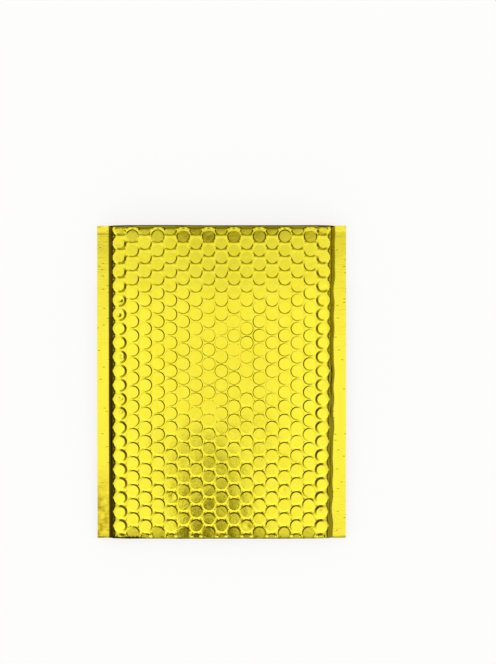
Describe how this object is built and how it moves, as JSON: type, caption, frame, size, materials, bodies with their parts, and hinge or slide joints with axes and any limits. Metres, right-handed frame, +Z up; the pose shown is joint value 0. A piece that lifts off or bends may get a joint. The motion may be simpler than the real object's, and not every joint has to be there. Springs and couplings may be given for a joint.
{
  "type": "padded envelope",
  "caption": "Flat padded envelope of metallised bubble lining, welded down both sides, with its self-sealing flap folded underneath.",
  "frame": {"origin": "under the middle of the envelope's overall box, on the surface that it lies on", "axes": "+Y along the length, from the bottom fold towards the flap fold; +Z up, out of the front face; X across the two side seals"},
  "size_m": [0.198, 0.25, 0.0112],
  "materials": {
    "pouch_film": "gold metallised film laminated over bubble lining, semi-gloss",
    "adhesive": "clear tacky hot-melt, glossy",
    "liner_film": "thin smooth release film, glossy"
  },
  "bodies": {
    "root": {"pouch": "pouch_film", "adhesive_strip": "adhesive", "release_liner": "liner_film"}
  },
  "joints": []
}
